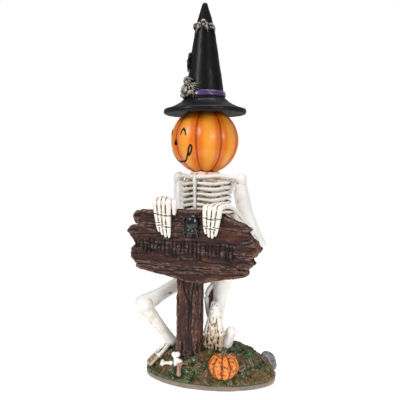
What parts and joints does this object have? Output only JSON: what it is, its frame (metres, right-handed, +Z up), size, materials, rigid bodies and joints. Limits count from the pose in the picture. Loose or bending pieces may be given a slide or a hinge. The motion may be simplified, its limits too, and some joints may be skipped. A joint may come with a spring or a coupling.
{
  "type": "halloween skeleton figure",
  "caption": "Free-standing resin skeleton with a pumpkin head and a pointed hat, leaning on a plank sign on an oval mossy base.",
  "frame": {"origin": "centre of the oval base, on the underside that rests on the table", "axes": "+Z up along the figure, -Y out of the front of the sign, +X towards the sign's right end seen from the front"},
  "size_m": [0.1085, 0.0773, 0.2923],
  "materials": {
    "bone_white": "hand-painted off-white resin, satin, with brown wash in the grooves",
    "bone_wash": "resin washed tan and brown between the bones",
    "toe_wash": "off-white resin under a heavy dark brown wash",
    "sign_brown": "resin moulded as rough wood, dark brown with dry-brushed edges",
    "moss": "resin moulded as moss, green and brown, glossy in the hollows",
    "bare_resin": "tan-brown bare resin band round the foot of the base",
    "stone_grey": "resin painted slate grey",
    "dead_leaves": "resin painted as brown and reddish dead leaves",
    "felt": "thin dark felt",
    "pumpkin_orange": "glossy painted orange, redder in the grooves",
    "pumpkin_small": "painted orange with a speckled brown wash",
    "pumpkin_stem": "painted dark olive",
    "spider_black": "gloss black paint",
    "hat_black": "satin black paint with fine speckle",
    "hat_purple": "satin dark purple paint",
    "hat_silver": "black paint dry-brushed with silver",
    "pin_steel": "plain steel pin"
  },
  "bodies": {
    "root": {"felt_pad": "felt", "base_rim": "bare_resin", "moss_mound": "moss", "grey_stone": "stone_grey", "fallen_leaves": "dead_leaves", "twig": "dead_leaves", "ground_bone_stub": "bone_white", "ground_bone_lying": "bone_white", "ground_bone_upright": "bone_white", "small_pumpkin": "pumpkin_small", "small_pumpkin_stem": "pumpkin_stem", "sign_post": "sign_brown", "post_pin": "pin_steel", "sign_plank_top": "sign_brown", "sign_plank_upper": "sign_brown", "sign_plank_lower": "sign_brown", "sign_plank_bottom": "sign_brown", "spider_body": "spider_black", "pelvis": "bone_white", "lumbar_spine": "bone_white", "thoracic_spine": "bone_white", "chest_core": "bone_wash", "sternum": "bone_white", "ribs_left": "bone_white", "ribs_right": "bone_white", "collar_bone_left": "bone_white", "collar_bone_right": "bone_white", "shoulder_blade_left": "bone_white", "shoulder_blade_right": "bone_white", "neck_collar": "bone_wash", "neck_pin": "pin_steel", "humerus_left": "bone_white", "humerus_right": "bone_white", "forearm_left": "bone_white", "forearm_right": "bone_white", "palm_left": "bone_white", "palm_right": "bone_white", "fingers_left": "bone_white", "fingers_right": "bone_white", "thumb_left": "bone_white", "thumb_right": "bone_white", "femur_left": "bone_white", "femur_right": "bone_white", "shin_left": "bone_white", "shin_right": "bone_white", "fibula_left": "bone_white", "foot_left": "bone_white", "foot_right": "bone_white", "toes_left": "toe_wash", "toes_right": "toe_wash", "pumpkin_head": "pumpkin_orange", "hat_pin": "pin_steel", "hat_brim": "hat_black", "hat_crown": "hat_black", "hat_band": "hat_purple", "hat_skulls_upper": "hat_silver", "hat_side_bump": "hat_black", "hat_skulls_lower": "hat_silver"}
  },
  "joints": []
}
